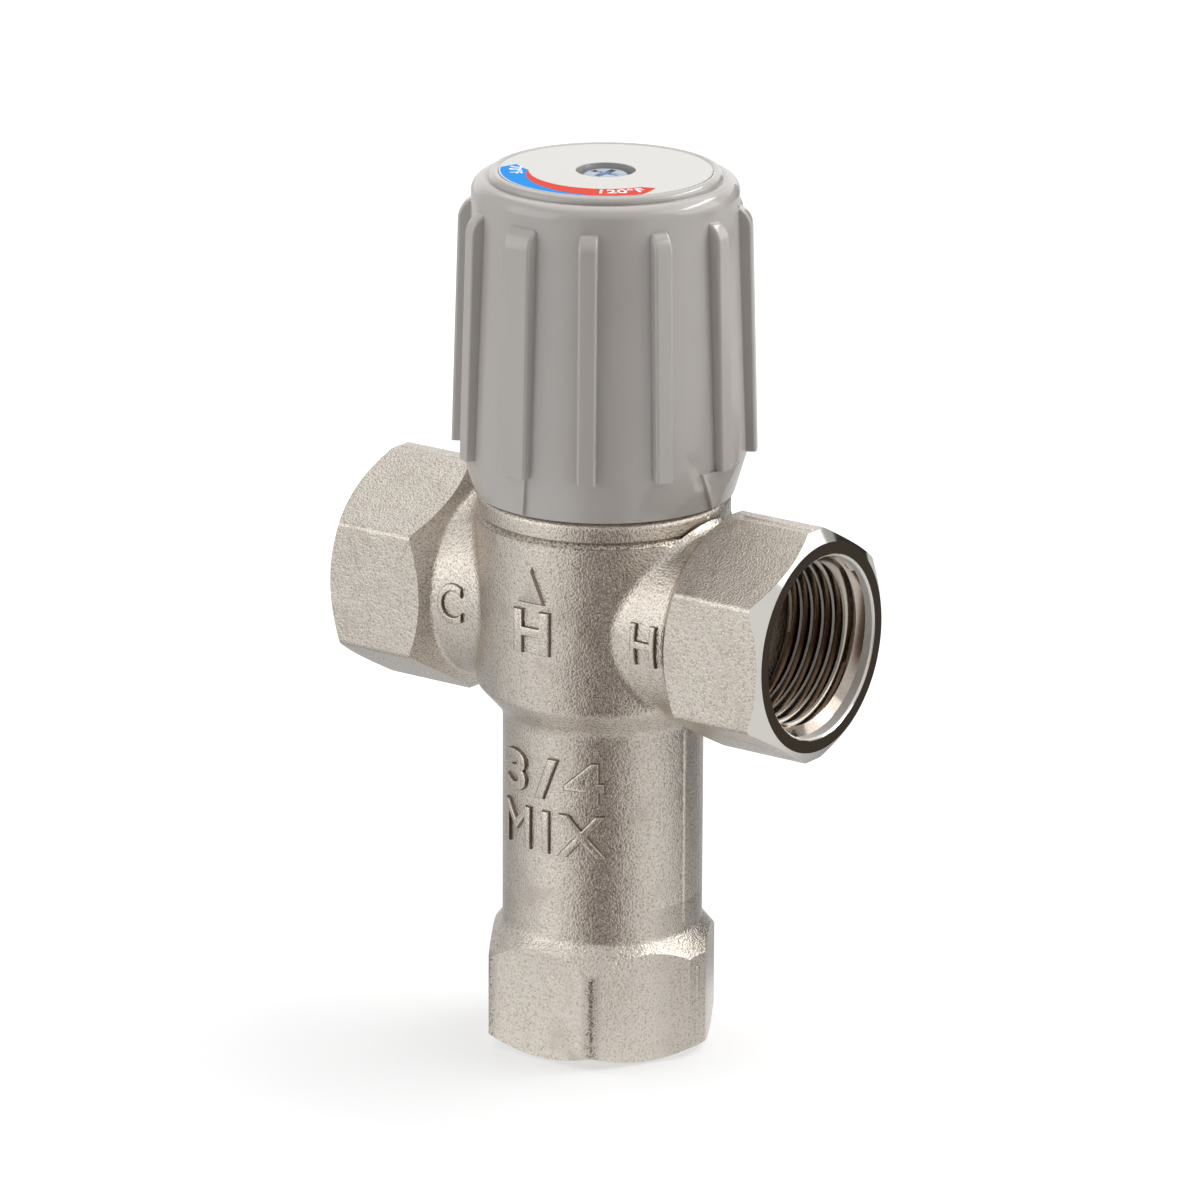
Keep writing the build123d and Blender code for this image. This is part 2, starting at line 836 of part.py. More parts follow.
grip_rib = knob_rib(rib_width)
wide_rib = knob_rib(wide_rib_width)
rib_step = 360 / rib_count
front_angle = rib_first_angle + wide_rib_index * rib_step

with BuildPart() as knob:
    with BuildSketch(Plane.XZ):
        with BuildLine():
            chord_x = skirt_top_radius - rim_outer_radius
            chord = hypot(chord_x, shoulder_height)
            shoulder_middle = (
                (skirt_top_radius + rim_outer_radius) / 2 + shoulder_bulge * shoulder_height / chord,
                (skirt_top + rim_base) / 2 + shoulder_bulge * chord_x / chord,
            )
            Polyline(
                (0, knob_face),
                (0, knob_bottom),
                (knob_bottom_radius, knob_bottom),
                (band_top_radius, band_top),
                (skirt_top_radius, skirt_top),
            )
            ThreePointArc((skirt_top_radius, skirt_top), shoulder_middle, (rim_outer_radius, rim_base))
            ThreePointArc(
                (rim_outer_radius, rim_base), (rim_crest_radius, rim_crest), (label_radius, knob_face)
            )
            Line((label_radius, knob_face), (0, knob_face))
        make_face()
    revolve(axis=Axis.Z)
    for index in range(rib_count):
        rib = wide_rib if index == wide_rib_index else grip_rib
        add(rib.part, rotation=(0, 0, rib_first_angle + index * rib_step))
    add(knob_pointer(side_pointer_width).part, rotation=(0, 0, rib_first_angle))
    add(knob_pointer(front_pointer_width).part, rotation=(0, 0, front_angle))
    with BuildSketch(Plane.XZ) as cavity:
        with BuildLine():
            Polyline(
                (0, knob_bottom),
                (knob_bottom_radius - knob_wall, knob_bottom),
                (band_top_radius - knob_wall, band_top),
                (skirt_top_radius - knob_wall, knob_ceiling),
                (0, knob_ceiling),
                close=True,
            )
        make_face()
        fillet(near(cavity, skirt_top_radius - knob_wall, knob_ceiling), knob_wall)
    revolve(axis=Axis.Z, mode=Mode.SUBTRACT)
    with BuildSketch(Plane.XY.offset(hub_bottom)):
        Circle(hub_radius)
    extrude(amount=knob_ceiling - hub_bottom)
    with BuildSketch(Plane.XY.offset(knob_ceiling)):
        with PolarLocations(0, web_count):
            Rectangle(skirt_top_radius - knob_wall / 2, web_width, align=(Align.MIN, Align.CENTER))
    extrude(amount=hub_bottom + web_rise - knob_ceiling)
    with BuildSketch(Plane.XY.offset(hub_bottom)):
        spline_section(seat_gap)
    extrude(amount=socket_top - hub_bottom, mode=Mode.SUBTRACT)
    with BuildSketch(Plane.XY.offset(knob_face)):
        Circle(screw_recess_radius)
    extrude(amount=-screw_recess_depth, mode=Mode.SUBTRACT)
    with Locations((0, 0, knob_face)):
        Hole(screw_shank_radius + running_gap)
save(knob, "knob")

with BuildPart() as knob_label:
    with BuildSketch(Plane.XY.offset(knob_face + seat_gap)):
        Circle(label_radius - seat_gap)
        Circle(screw_recess_radius, mode=Mode.SUBTRACT)
    extrude(amount=label_thickness)
save(knob_label, "knob_label")


# The knob screw: pan head with a cross recess
with BuildPart() as knob_screw:
    head_bottom = recess_floor + seat_gap
    head_top = head_bottom + screw_head_height
    with BuildSketch(Plane.XZ) as screw_section:
        with BuildLine():
            Polyline(
                (0, screw_tip),
                (screw_shank_radius, screw_tip),
                (screw_shank_radius, head_bottom),
                (screw_head_radius, head_bottom),
                (screw_head_radius, head_top),
                (0, head_top),
                close=True,
            )
        make_face()
        fillet(near(screw_section, screw_head_radius, head_top), screw_head_height / 2)
    revolve(axis=Axis.Z)
    with BuildSketch(Plane.XY.offset(head_top)):
        Rectangle(cross_span, cross_width)
        Rectangle(cross_width, cross_span)
    extrude(amount=-cross_depth, taper=cross_taper, mode=Mode.SUBTRACT)
save(knob_screw, "knob_screw")
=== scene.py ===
# %% [markdown]
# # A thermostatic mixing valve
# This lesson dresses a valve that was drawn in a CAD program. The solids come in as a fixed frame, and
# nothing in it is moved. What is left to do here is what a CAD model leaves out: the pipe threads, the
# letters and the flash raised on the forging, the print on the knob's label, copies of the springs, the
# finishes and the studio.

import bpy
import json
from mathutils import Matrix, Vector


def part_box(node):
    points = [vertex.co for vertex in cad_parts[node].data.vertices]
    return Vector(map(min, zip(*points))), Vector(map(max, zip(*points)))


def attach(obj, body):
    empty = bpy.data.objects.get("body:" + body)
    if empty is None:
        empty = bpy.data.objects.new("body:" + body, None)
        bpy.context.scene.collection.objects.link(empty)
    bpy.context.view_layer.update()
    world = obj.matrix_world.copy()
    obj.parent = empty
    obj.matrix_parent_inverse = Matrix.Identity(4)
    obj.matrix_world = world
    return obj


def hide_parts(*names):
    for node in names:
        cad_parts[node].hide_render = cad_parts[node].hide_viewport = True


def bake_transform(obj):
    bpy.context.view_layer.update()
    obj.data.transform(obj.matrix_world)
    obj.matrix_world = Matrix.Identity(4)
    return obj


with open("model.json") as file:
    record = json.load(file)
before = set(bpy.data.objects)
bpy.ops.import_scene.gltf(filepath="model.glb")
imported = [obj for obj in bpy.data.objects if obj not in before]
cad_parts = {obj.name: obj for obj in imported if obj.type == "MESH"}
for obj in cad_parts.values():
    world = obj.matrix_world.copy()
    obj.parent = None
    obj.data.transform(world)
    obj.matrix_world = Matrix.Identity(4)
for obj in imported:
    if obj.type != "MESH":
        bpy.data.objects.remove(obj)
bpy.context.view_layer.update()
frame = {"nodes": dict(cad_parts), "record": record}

# %% Tools used by every step
import json
from math import cos, hypot, pi, radians, sin, tan

import bmesh
import bpy
from mathutils import Matrix, Vector

mm = 0.001
scene = bpy.context.scene

# %% [markdown]
# ## Where things are
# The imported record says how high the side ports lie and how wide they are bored, and the boxes of the
# solids say how far the body reaches and where the label's face is. The five radii after them are those of
# the CAD drawing, and the marks and the flash are placed by them.

# %% Read the main sizes
mounts = {mount["name"]: mount for mount in frame["record"]["mounts"]}
label_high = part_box("knob_label")[1]
port_height = mounts["hot_port"]["pos_m"][2]
port_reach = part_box("valve_body")[1].x
bore_radius = mounts["hot_port"]["dims"]["r_mm"] * mm
label_radius = label_high.x
label_face = label_high.z
stem_radius = 14.6 * mm
barrel_radius = 18.4 * mm
neck_radius = 14.3 * mm
hex_trim_radius = 17.1 * mm
collar_radius = 18.3 * mm
print("port axis", port_height, "reach", round(port_reach, 4), "label face", round(label_face, 5))

# %% [markdown]
# ## Arithmetic on shader sockets
# A finish is worked out from the place of each point, such as how far it is from a port's axis. In a node
# tree that takes many Math nodes. A small class wraps one output socket, so that an ordinary expression
# adds those nodes. Every other kind of node comes from the one method called node.

# %% A socket that Python can calculate with
class Value:
    """One output socket of a node tree. Arithmetic on it adds Math nodes."""

    def __init__(self, tree, socket):
        self.tree = tree
        self.socket = socket

    def node(self, kind, settings=None, inputs=None, output=0):
        """A new node: its settings first, then the values or links of its input sockets."""
        made = self.tree.nodes.new("ShaderNode" + kind)
        for name, value in (settings or {}).items():
            if name == "stops":
                for place, colour in value[2:]:
                    made.color_ramp.elements.new(place)
                for stop, (place, colour) in zip(made.color_ramp.elements, value):
                    stop.position = place
                    stop.color = colour
            else:
                setattr(made, name, value)
        for name, value in (inputs or {}).items():
            if isinstance(value, Value):
                self.tree.links.new(value.socket, made.inputs[name])
            else:
                made.inputs[name].default_value = value
        return Value(self.tree, made.outputs[output])

    def maths(self, operation, *values):
        return self.node("Math", {"operation": operation}, dict(enumerate(values)))

    def __add__(self, other):
        return self.maths("ADD", self, other)

    def __radd__(self, other):
        return self.maths("ADD", other, self)

    def __sub__(self, other):
        return self.maths("SUBTRACT", self, other)

    def __rsub__(self, other):
        return self.maths("SUBTRACT", other, self)

    def __mul__(self, other):
        return self.maths("MULTIPLY", self, other)

    def __rmul__(self, other):
        return self.maths("MULTIPLY", other, self)

    def __truediv__(self, other):
        return self.maths("DIVIDE", self, other)

    def __gt__(self, other):
        return self.maths("GREATER_THAN", self, other)

    def __lt__(self, other):
        return self.maths("LESS_THAN", self, other)

    def __abs__(self):
        return self.maths("ABSOLUTE", self)

    def either(self, other):
        return self.maths("MAXIMUM", self, other)

    def both(self, other):
        return self.maths("MINIMUM", self, other)

    def length_with(self, other):
        """The distance from an axis, of which this and the other value are the two offsets."""
        return self.maths("SQRT", self * self + other * other)

    def ramp(self, *stops):
        """A smooth change between colours placed along this value."""
        return self.node("ValToRGB", {"stops": stops}, {0: self})

    def blend(self, low, high):
        """The colour low where this value is 0, and the colour high where it is 1."""
        return self.node("Mix", {"data_type": "RGBA"}, {0: self, 6: low, 7: high}, output=2)


def grey(level):
    return (level, level, level, 1.0)


print("Value is ready")

# %% [markdown]
# ## How a finish is started
# Each finish starts the same way: an empty node tree, the Object coordinates of the piece, and at the end
# one Principled shader. Object coordinates are metres in the frame of the valve, so a pattern in them keeps
# its real size and doesn't slide when a piece moves.

# %% Start and close a finish
def start_finish(name):
    """A new material and the place of each of its points."""
    material = bpy.data.materials.new(name)
    material.use_nodes = True
    material.node_tree.nodes.clear()
    place = material.node_tree.nodes.new("ShaderNodeTexCoord")
    return material, Value(material.node_tree, place.outputs["Object"])


def close_finish(place, **sockets):
    """The Principled shader of a finish, joined to the material's output."""
    named = {
        name.replace("_", " ").title().replace("Ior", "IOR"): value for name, value in sockets.items()
    }
    shader = place.node("BsdfPrincipled", {}, named)
    output = place.tree.nodes.new("ShaderNodeOutputMaterial")
    place.tree.links.new(shader.socket, output.inputs["Surface"])


def speckle(place, grain, detail=2.0):
    """Noise whose grains have about the given size in metres."""
    settings = {"Vector": place, "Scale": 1.0 / grain, "Detail": detail, "Roughness": 0.6}
    return place.node("TexNoise", {}, settings, output="Fac")


def split(place):
    """The x, y and z of a place."""
    parts = place.node("SeparateXYZ", {}, {0: place})
    sockets = parts.socket.node.outputs
    return [Value(place.tree, sockets[axis]) for axis in "XYZ"]


print("finishes can be made")

# %% [markdown]
# ## Nickel on a blasted forging
# The body is a brass forging that was shot blasted and nickel plated, which leaves a sparkle of tiny dents.
# Its chamfers, port faces and bores were turned after the blasting, so the nickel there is as bright as a
# mirror, and only the reamed mouth of a port is dull. Past the threads a port is painted dark, as painted
# shade. Dark specks of painted shade lie in the crease below the collar and round the necks, dark specks
# of painted reflection on the trimmed sides of the foot, more dark specks on the corners of the foot, and
# brown stains in a few patches. One material does all of this. It finds each zone from the distances to
# the ports' axes, and drops the dents where the metal was turned.

# %% The body's finish
turned_face_radius = 15.3 * mm
chamfer_slope = tan(radians(34.6))
turned_margin = 0.12 * mm
inner_wall = 14.2 * mm
hex_reach = 19.0 * mm
mouth_depth = 3.7 * mm
bore_depth = 14.8 * mm
collar_foot = 79.6 * mm
collar_crease_width = 0.55 * mm
collar_crease_inner = 17.0 * mm
collar_crease_outer = 18.7 * mm
neck_end = 21.5 * mm
neck_crease_width = 0.35 * mm
neck_crease_radius = 15.0 * mm
speckled_corner_height = 15.5 * mm
trimmed_side_width = 7.5 * mm
trimmed_side_height = 23.0 * mm
dent_size = 0.32 * mm
dent_depth = 0.14 * mm
patch_size = 6.0 * mm
nickel_light = (0.74, 0.685, 0.61, 1.0)
nickel_dark = (0.50, 0.43, 0.365, 1.0)
nickel_worn = (0.46, 0.39, 0.32, 1.0)
nickel_turned = (0.74, 0.71, 0.665, 1.0)
# Dark brown for painted shade in the ports and creases, painted reflection on the foot's trimmed sides, the
# foot's corner specks and the stains.
shade_and_stain_nickel = (0.16, 0.13, 0.10, 1.0)


def turned_zone(radius, depth):
    """1 on a port's flat face and its chamfer, from the distance to the port's axis and to its face."""
    on_chamfer = (radius - turned_face_radius + turned_margin) > (depth / chamfer_slope)
    on_face = depth < turned_margin
    return on_chamfer.either(on_face).both(radius < hex_reach)


def bore_zones(radius, depth):
    """Where a port's threaded bore is, its reamed mouth, and the room behind the threads, which gets
    painted shade.
    """
    within = radius < inner_wall
    mouth = within.both(depth < mouth_depth).both(depth > turned_margin)
    return within.both(depth < bore_depth), mouth, within.both(depth > bore_depth)


def make_forging_nickel():
    material, place = start_finish("blasted nickel")
    x, y, z = split(place)
    reach = abs(x)
    port_radius = y.length_with(z - port_height)
    stem_axis_radius = x.length_with(y)
    side_bore, side_mouth, side_room = bore_zones(port_radius, port_reach - reach)
    foot_bore, foot_mouth, foot_room = bore_zones(stem_axis_radius, z)
    faces = turned_zone(port_radius, port_reach - reach).either(turned_zone(stem_axis_radius, z))
    turned = faces.either(side_bore).either(foot_bore)
    mouth = side_mouth.either(foot_mouth)
    # Painted shade: the ports past their threads are coloured nearly black.
    inside = side_room.both(reach > barrel_radius).either(foot_room)
    rough = 1 - turned

    dents = speckle(place, dent_size)
    patches = speckle(place, patch_size)
    shade = dents.ramp((0.30, grey(0.0)), (0.50, grey(1.0)))
    wear = patches.ramp((0.52, grey(0.0)), (0.85, grey(0.3)))
    worn = wear.blend(shade.blend(nickel_dark, nickel_light), nickel_worn)

    # Painted shade: dark specks in the crease below the collar and in the creases round the necks.
    collar_band = (stem_axis_radius > collar_crease_inner).both(stem_axis_radius < collar_crease_outer)
    collar_crease = (abs(z - collar_foot) < collar_crease_width).both(collar_band)
    neck_crease = (abs(reach - neck_end) < neck_crease_width).both(port_radius < neck_crease_radius)
    # Dark specks on the corners of the foot hex, below a set height.
    corner_depth = (stem_axis_radius / hex_reach).ramp((0.915, grey(0.0)), (0.950, grey(1.0)))
    foot_corner = corner_depth * (z < speckled_corner_height)
    # Painted reflection: dark specks on the trimmed sides of the foot, standing for the darker room that
    # they mirror.
    trimmed_side = abs(y / trimmed_side_width).ramp((0.45, grey(0.55)), (1.0, grey(0.0)))
    trimmed_foot = trimmed_side * (z < trimmed_side_height)
    # Brown stains in a few patches.
    grime = patches.ramp((0.62, grey(0.0)), (0.78, grey(0.4)))
    # Painted shade, painted reflection, the foot's corner specks and the stains together, speckled by the
    # dents.
    shade_and_grime = collar_crease.either(neck_crease).either(foot_corner).either(trimmed_foot).either(grime)
    shade_and_stain_amount = shade_and_grime * (dents * 5.0 - 2.1)
    shade_and_stain_colour = shade_and_stain_amount.ramp((0.0, grey(0.0)), (1.0, grey(0.85))).blend(worn, shade_and_stain_nickel)
    colour = inside.blend(turned.blend(shade_and_stain_colour, nickel_turned), shade_and_stain_nickel)

    height = dents + patches * 1.6
    bump = place.node("Bump", {}, {"Strength": rough, "Distance": dent_depth, "Height": height})
    close_finish(
        place,
        base_color=colour,
        metallic=1 - mouth * 0.75,
        roughness=rough * 0.15 + 0.10 + mouth * 0.24,
        normal=bump,
    )
    return material


forging_nickel = make_forging_nickel()
print("made", forging_nickel.name)

# %% [markdown]
# ## Bright nickel in the threads
# The tap cut the flanks of a thread smooth along its helix, so they mirror the dark inside of the port, and
# their darker brown colour is painted shade. The flat crests get a lighter colour and less metal, a painted
# highlight. The two finishes give the dark bore its thin pale lines.

# %% The thread's two finishes
streak_size = 0.5 * mm


def make_thread_nickel(name, dark, light, metallic, roughness):
    material, place = start_finish(name)
    streaks = speckle(place, streak_size)
    colour = streaks.blend(dark, light)
    close_finish(place, base_color=colour, metallic=metallic, roughness=roughness + 0.06 * streaks)
    return material


# Darker brown flanks are painted shade, and the lighter, less metallic crests are a painted highlight.
flank_nickel_painted_shade = make_thread_nickel(
    "thread flank nickel with painted shade", (0.46, 0.39, 0.32, 1.0), (0.62, 0.56, 0.50, 1.0), metallic=1.0, roughness=0.10
)
crest_nickel_painted_highlight = make_thread_nickel(
    "thread crest nickel with painted highlight", (0.78, 0.74, 0.69, 1.0), (0.88, 0.86, 0.83, 1.0), metallic=0.35, roughness=0.36
)
print("made", flank_nickel_painted_shade.name, "and", crest_nickel_painted_highlight.name)

# %% [markdown]
# ## The knob's plastic
# The knob is moulded in a warm mid grey with a thin gloss. Moulded plastic is never quite flat, so a very
# weak wide bump bends the reflections a little, and the roughness changes slowly over the surface.

# %% The knob's finish
knob_dark = (0.388, 0.361, 0.339, 1.0)
knob_light = (0.414, 0.388, 0.368, 1.0)
wave_size = 9.0 * mm
wave_depth = 0.15 * mm
satin_size = 1.2 * mm


def make_knob_plastic():
    material, place = start_finish("grey plastic")
    waves = speckle(place, wave_size, detail=1.0)
    satin = speckle(place, satin_size, detail=1.0)
    bump = place.node("Bump", {}, {"Strength": 0.10, "Distance": wave_depth, "Height": waves})
    close_finish(
        place,
        base_color=waves.blend(knob_dark, knob_light),
        roughness=0.14 + 0.08 * satin,
        specular_ior_level=0.6,
        coat_weight=0.7,
        coat_roughness=0.05,
        normal=bump,
    )
    return material


knob_plastic = make_knob_plastic()
print("made", knob_plastic.name)

# %% [markdown]
# ## Plain finishes
# The label, its inks, the screw and the pieces inside the valve each have one even finish. A colour, a
# roughness and whether it is metal are enough for each of them.

# %% Finishes with one colour
even_grain = 0.4 * mm


def make_plain(name, colour, metallic=0.0, roughness=0.4, shine=0.5):
    """An even finish with a trace of variation in its roughness."""
    material, place = start_finish(name)
    change = speckle(place, even_grain)
    close_finish(
        place,
        base_color=(*colour, 1.0),
        metallic=metallic,
        roughness=roughness + 0.08 * change,
        specular_ior_level=shine,
    )
    return material


label_film = make_plain("label film", (0.59, 0.58, 0.555), roughness=0.42, shine=0.12)
hot_ink = make_plain("hot red ink", (0.62, 0.055, 0.03), roughness=0.5, shine=0.08)
cold_ink = make_plain("cold blue ink", (0.004, 0.24, 0.68), roughness=0.5, shine=0.08)
white_ink = make_plain("white ink", (0.85, 0.85, 0.85), roughness=0.5, shine=0.08)
screw_zinc = make_plain("blue zinc", (0.52, 0.60, 0.70), metallic=1.0, roughness=0.22)
# Painted shade for the sloping sides of the raised marks.
letter_flank_painted_shade = make_plain("nickel with painted shade on letter flanks", (0.24, 0.195, 0.155), metallic=1.0, roughness=0.30)
bare_brass = make_plain("machined brass", (0.66, 0.47, 0.20), metallic=1.0, roughness=0.22)
steel = make_plain("stainless steel", (0.60, 0.59, 0.57), metallic=1.0, roughness=0.25)
copper = make_plain("drawn copper", (0.70, 0.34, 0.20), metallic=1.0, roughness=0.30)
black_plastic = make_plain("black plastic", (0.025, 0.025, 0.027), roughness=0.38)
rubber = make_plain("seal rubber", (0.014, 0.014, 0.014), roughness=0.55)
wax = make_plain("wax", (0.70, 0.64, 0.46), roughness=0.45)
print("plain finishes made")

# %% Give every solid its finish
slot_finish = {
    "nickel_plate": forging_nickel,
    "grey_plastic": knob_plastic,
    "label_film": label_film,
    "zinc_steel": screw_zinc,
    "brass": bare_brass,
    "stainless": steel,
    "copper": copper,
    "black_plastic": black_plastic,
    "black_rubber": rubber,
    "wax": wax,
}
for part in frame["record"]["subparts"]:
    solid = frame["nodes"][part["node"]]
    solid.data.materials.clear()
    solid.data.materials.append(slot_finish[part["material_slot"]])

# %% [markdown]
# ## Turning a bmesh into a piece
# Each new piece is shaped in a bmesh. This function writes it to an object that sits at the origin, gives
# it its finish, shades its curved faces smoothly and keeps its hard edges, and makes it ride on a body of
# the frame when one is named.

# %% Finish a piece
def make_piece(shape, name, material, body, hard_edge=radians(35), second=None):
    """An object from a finished bmesh. Its faces numbered 1 get the second finish."""
    for face in shape.faces:
        face.smooth = True
    for edge in shape.edges:
        edge.smooth = edge.calc_face_angle(0.0) < hard_edge
    mesh = bpy.data.meshes.new(name)
    shape.to_mesh(mesh)
    shape.free()
    mesh.materials.append(material)
    if second:
        mesh.materials.append(second)
    piece = bpy.data.objects.new(name, mesh)
    scene.collection.objects.link(piece)
    if body:
        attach(piece, body)
    print(name, "faces:", len(mesh.polygons))
    return piece


# %% [markdown]
# ## Smooth copies of the two large pieces
# A CAD solid arrives as loose triangles, each with its own corners. The knob and the forging catch long
# soft reflections, so the joins would show. A merged copy with smooth faces and marked hard edges takes the
# place of each, and has the same form.

# %% Copy the forging and the knob
same_corner = 0.0005 * mm
copied_edge = radians(22)


def merged_solid(node):
    """A solid as a bmesh, with the doubled corners of its triangles merged."""
    shape = bmesh.new()
    shape.from_mesh(frame["nodes"][node].data)
    bmesh.ops.remove_doubles(shape, verts=shape.verts[:], dist=same_corner)
    return shape


def smooth_copy(node, name, material, body):
    """Puts a smooth copy in the place of a solid."""
    copy = make_piece(merged_solid(node), name, material, body, hard_edge=copied_edge)
    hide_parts(node)


smooth_copy("valve_body", "forged_tee", forging_nickel, "housing")
smooth_copy("knob", "grip_cup", knob_plastic, "knob_set")

# %% [markdown]
# ## Copies of the springs
# A CAD spring keeps its length, so at a joint's limit its neighbour would slide into the end coils. Each
# spring is replaced by a copy, and the return spring, which stands across two joints, is cut at half its
# height into a lower and an upper half.

# %% Copy the springs and cut the return spring in half
def spring_part(node, name, low, high):
    """The part of a spring between two heights, closed where it is cut."""
    shape = merged_solid(node)
    bottom, top = (corner.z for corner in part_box(node))
    for height, outwards in ((low, -1), (high, 1)):
        if bottom < height < top:
            cut = bmesh.ops.bisect_plane(
                shape,
                geom=[*shape.verts, *shape.edges, *shape.faces],
                plane_co=(0, 0, height),
                plane_no=(0, 0, outwards),
                clear_outer=True,
            )
            rim = [item for item in cut["geom_cut"] if isinstance(item, bmesh.types.BMEdge)]
            bmesh.ops.contextual_create(shape, geom=rim)
    bmesh.ops.recalc_face_normals(shape, faces=shape.faces[:])
    piece = make_piece(shape, name, steel, None)
    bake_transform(piece)
    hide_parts(node)


spring_foot, spring_head = (corner.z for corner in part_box("return_spring"))
spring_middle = (spring_foot + spring_head) / 2
spring_part("return_spring", "return_spring_lower_half", spring_foot, spring_middle)
spring_part("return_spring", "return_spring_upper_half", spring_middle, spring_head)
button_end, nut_end = (corner.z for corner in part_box("overtravel_spring"))
spring_part("overtravel_spring", "overtravel_coils", button_end, nut_end)

# %% [markdown]
# ## The pipe threads
# Each port has an inside pipe thread with 14 turns to the inch. The solid has a plain bore at the root of
# the thread, and the ridge is added here. One cross section of the ridge is spun round the axis and moved
# along it at the same time. The ridge then fades in at the mouth, where the thread was chamfered, and its
# crest rises slowly with depth, because a pipe thread is tapered.

# %% Spin one thread
thread_pitch = 25.4 * mm / 14
thread_depth = 1.3 * mm
thread_start = 1.9 * mm
thread_turns = 7.0
thread_fade = 1.3 * mm
crest_width = 0.42 * mm
root_gap = 0.04 * mm
wall_overlap = 0.06 * mm
fade_least = 0.1
thread_taper = 1 / 32
steps_per_turn = 96
crest_facing = 0.97


def spin_thread():
    """A ridge along +Z, its crest towards the axis."""
    shape = bmesh.new()
    base = (thread_pitch - root_gap) / 2
    crest = bore_radius - thread_depth
    corners = (
        (bore_radius + wall_overlap, -base),
        (bore_radius, -base),
        (crest, -crest_width / 2),
        (crest, crest_width / 2),
        (bore_radius, base),
        (bore_radius + wall_overlap, base),
    )
    section = shape.faces.new([shape.verts.new((radius, 0, along)) for radius, along in corners])
    steps = round(thread_turns * steps_per_turn)
    length = thread_pitch * thread_turns
    bmesh.ops.spin(
        shape,
        geom=[section, *section.edges, *section.verts],
        axis=(0, 0, 1),
        dvec=(0, 0, length / steps),
        angle=2 * pi * thread_turns,
        steps=steps,
    )
    for corner in shape.verts:
        radius = hypot(corner.co.x, corner.co.y)
        if radius < bore_radius - turned_margin:
            along = corner.co.z
            fade_in = max(0.0, along / thread_fade + fade_least)
            fade_out = max(0.0, (length - along) / thread_fade + fade_least)
            rise = min(1.0, fade_in, fade_out)
            height = (bore_radius - radius) * rise + max(0.0, along) * thread_taper * rise
            share = (bore_radius - height) / radius
            corner.co.x *= share
            corner.co.y *= share
    bmesh.ops.recalc_face_normals(shape, faces=shape.faces[:])
    for face in shape.faces:
        middle = face.calc_center_median()
        outwards = Vector((middle.x, middle.y, 0)).normalized()
        if face.normal.dot(outwards) < -crest_facing:
            face.material_index = 1
    return shape


# %% Place the three threads
thread_places = {
    "hot_port_thread": Matrix.Translation((port_reach - thread_start, 0, port_height))
    @ Matrix.Rotation(radians(-90), 4, "Y"),
    "cold_port_thread": Matrix.Translation((thread_start - port_reach, 0, port_height))
    @ Matrix.Rotation(radians(90), 4, "Y"),
    "mix_port_thread": Matrix.Translation((0, 0, thread_start)),
}
for name, place in thread_places.items():
    ridge = spin_thread()
    bmesh.ops.transform(ridge, matrix=place, verts=ridge.verts[:])
    make_piece(ridge, name, flank_nickel_painted_shade, "housing", second=crest_nickel_painted_highlight)

# %% [markdown]
# ## Letters raised on the forging
# The die of the forging left marks that stand about half a millimetre proud with sloping sides: H and C at
# the ports, an arrow head over an H on the barrel, and the size and MIX on the stem. Flat letters with a
# bevel are cut into narrow strips and then bent round the cylinder that they stand on. Their sloping sides
# are painted a little darker than their tops, as painted shade.

# %% Make flat letters
letter_relief = 0.5 * mm
strip_width = 0.5 * mm
flattest_flank = 0.8


def flat_letters(words, width, height, relief, boldness=0.046, flank=0.034, spacing=1.0):
    """Letters as a bmesh, centred at the origin. Their sides slope, so the foot is bolder than the top."""
    curve = bpy.data.curves.new(words, "FONT")
    curve.body = words
    curve.offset = boldness - flank
    curve.bevel_depth = flank
    curve.bevel_resolution = 2
    curve.space_character = spacing
    curve.resolution_u = 6
    text = bpy.data.objects.new(words, curve)
    mesh = bpy.data.meshes.new_from_object(text)
    shape = bmesh.new()
    shape.from_mesh(mesh)
    bpy.data.objects.remove(text)
    bpy.data.meshes.remove(mesh)
    bmesh.ops.remove_doubles(shape, verts=shape.verts[:], dist=0.0005)
    low = Vector([min(corner.co[axis] for corner in shape.verts) for axis in range(3)])
    high = Vector([max(corner.co[axis] for corner in shape.verts) for axis in range(3)])
    size = high - low
    bmesh.ops.translate(shape, verts=shape.verts[:], vec=-(low + high) / 2)
    bmesh.ops.scale(
        shape, verts=shape.verts[:], vec=(width / size.x, height / size.y, 2 * relief / size.z)
    )
    return shape


def mark_flanks(shape):
    """Gives the sloping sides of a flat shape the number of the second finish."""
    shape.normal_update()
    for face in shape.faces:
        face.material_index = int(face.normal.z < flattest_flank)


def cut_strips(shape):
    """Cuts a flat shape into strips along X, so that it can be bent."""
    reach = max(abs(corner.co.x) for corner in shape.verts)
    for step in range(-int(reach / strip_width), int(reach / strip_width) + 1):
        bmesh.ops.bisect_plane(
            shape,
            geom=[*shape.verts, *shape.edges, *shape.faces],
            plane_co=(step * strip_width, 0, 0),
            plane_no=(1, 0, 0),
        )


def bend_round(shape, radius):
    """Bends a flat shape on the XY plane round a cylinder about Z, facing -Y."""
    for corner in shape.verts:
        turn = corner.co.x / radius
        distance = radius + corner.co.z
        corner.co = (distance * sin(turn), -distance * cos(turn), corner.co.y)


def make_mark(shape, name):
    """A finished mark: its top like the forging, its sides a little darker in painted shade."""
    make_piece(
        shape, name, forging_nickel, "housing", hard_edge=radians(60), second=letter_flank_painted_shade
    )


# %% Raise the marks on the barrel and the stem
def mark_on_stem(shape, name, radius, angle, height):
    """Bends a mark round the stem's axis. The angle is measured from +X, as seen from above."""
    mark_flanks(shape)
    cut_strips(shape)
    bend_round(shape, radius)
    place = Matrix.Translation((0, 0, height)) @ Matrix.Rotation(radians(angle + 90), 4, "Z")
    bmesh.ops.transform(shape, matrix=place, verts=shape.verts[:])
    make_mark(shape, name)


